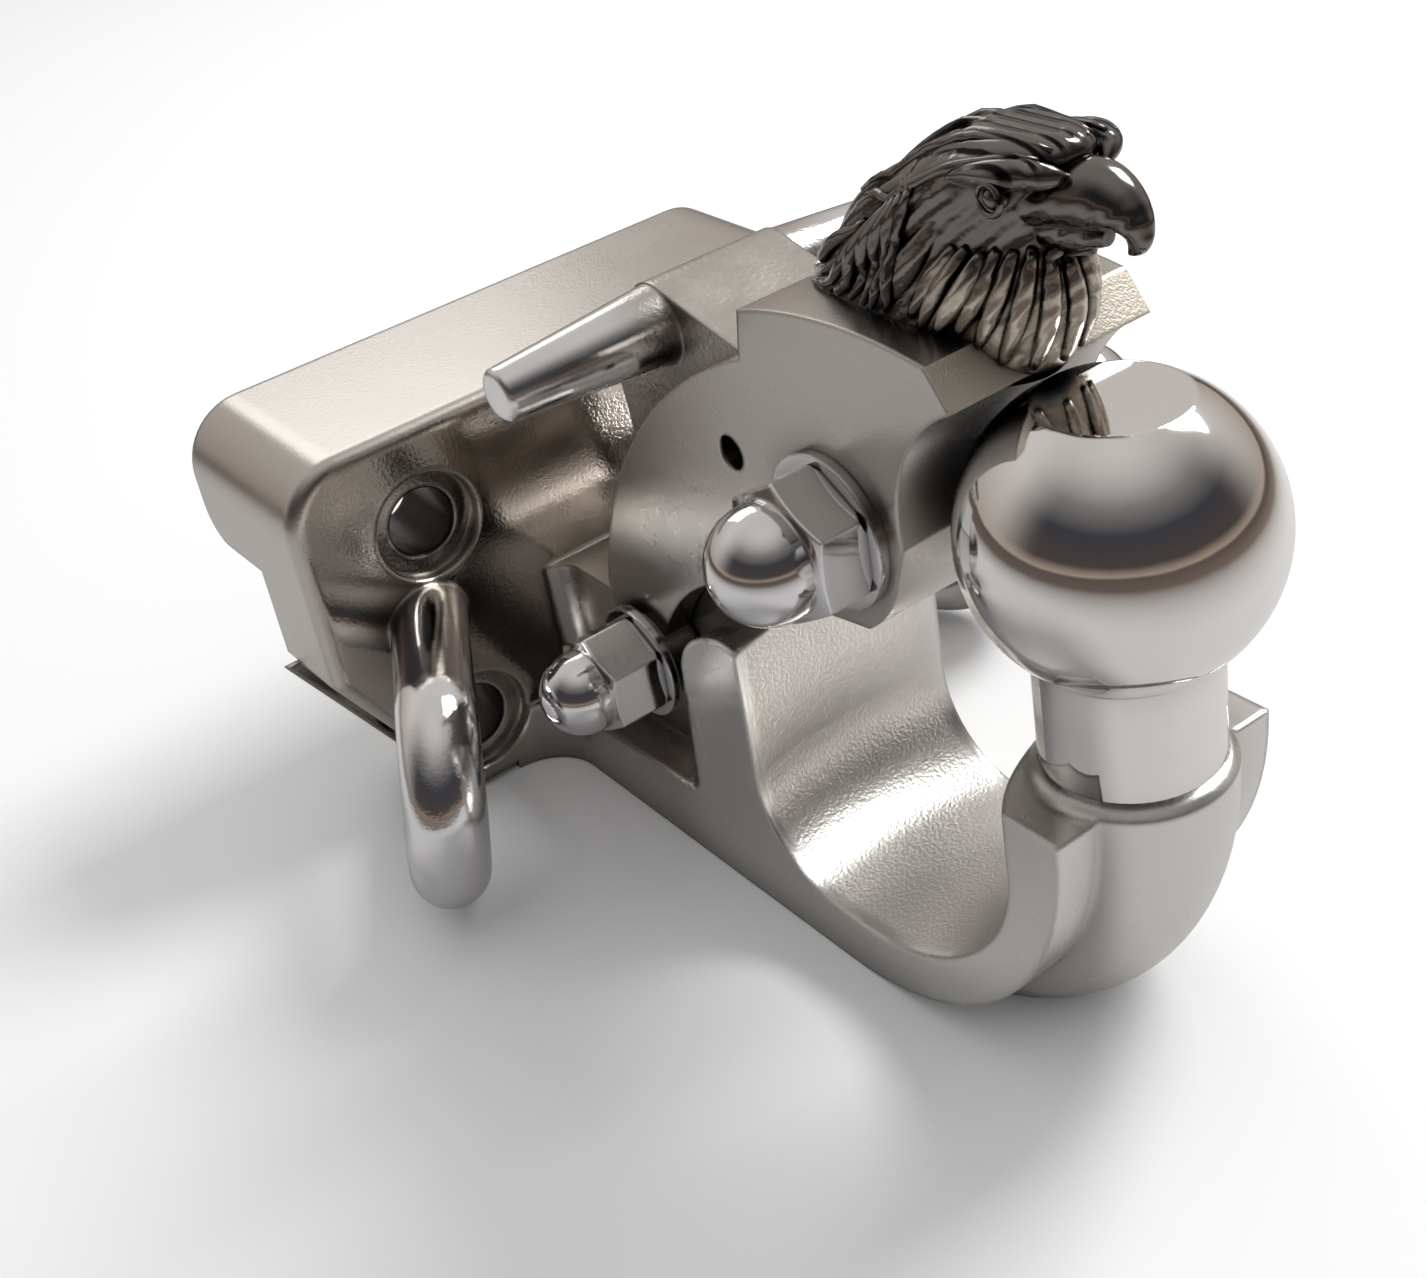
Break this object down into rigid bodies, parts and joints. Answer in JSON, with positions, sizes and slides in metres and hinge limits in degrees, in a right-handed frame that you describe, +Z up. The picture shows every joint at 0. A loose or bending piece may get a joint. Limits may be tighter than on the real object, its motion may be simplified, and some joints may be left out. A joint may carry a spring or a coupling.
{
  "type": "trailer hitch hook",
  "caption": "Chromed pintle hook with a tow ball on its horn, a latched swing-up upper jaw with an eagle head, chain loops and a bolt-on mounting plate.",
  "frame": {"origin": "centre of the bolt pattern on the rear face of the mounting plate", "axes": "+Y points to the towing vehicle, the hook projects to -Y, +Z is up, +X is to the right seen from behind the vehicle"},
  "size_m": [0.1648, 0.2299, 0.1655],
  "materials": {
    "cast_body": "chrome over a satin casting, rough in the throat",
    "ball": "mirror chrome",
    "bush": "plain bearing bronze",
    "jaw": "satin chrome, blasted bevel on the nose",
    "studs": "plated steel",
    "washers": "bright plated steel",
    "nuts": "mirror chrome",
    "sleeve": "turned steel",
    "spring": "spring steel wire",
    "latch": "chrome, rough where the arms meet the web",
    "eagle": "dark chrome with blackened recesses",
    "screws": "plated steel"
  },
  "bodies": {
    "frame": {"hook_body": "cast_body", "tow_ball": "ball", "jaw_pivot_bush": "bush"},
    "jaw": {"upper_jaw": "jaw", "jaw_pivot_stud": "studs", "jaw_pivot_washers": "washers", "jaw_pivot_cap_nuts": "nuts", "latch_pivot_stud": "studs", "latch_pivot_sleeve": "sleeve", "latch_pivot_washers": "washers", "latch_pivot_cap_nuts": "nuts", "latch_spring": "spring", "eagle_head": "eagle", "eagle_screws": "screws"},
    "latch": {"latch_lever": "latch"}
  },
  "joints": [
    {"name": "jaw_open", "type": "hinge", "parent": "frame", "child": "jaw", "pos_m": [0, -0.067, 0.0003], "axis": [-1, 0, 0], "range_deg": [0, 40]},
    {"name": "latch_lift", "type": "hinge", "parent": "jaw", "child": "latch", "pos_m": [0, -0.1364, 0.0563], "axis": [1, 0, 0], "range_deg": [0, 14], "stiffness_Nm_per_rad": 0.4, "springref_deg": -22.92, "deforming": ["latch_spring"]}
  ],
  "couplings": [
    {"joint": "latch_lift", "follows": "jaw_open", "ratio": 0.35}
  ]
}
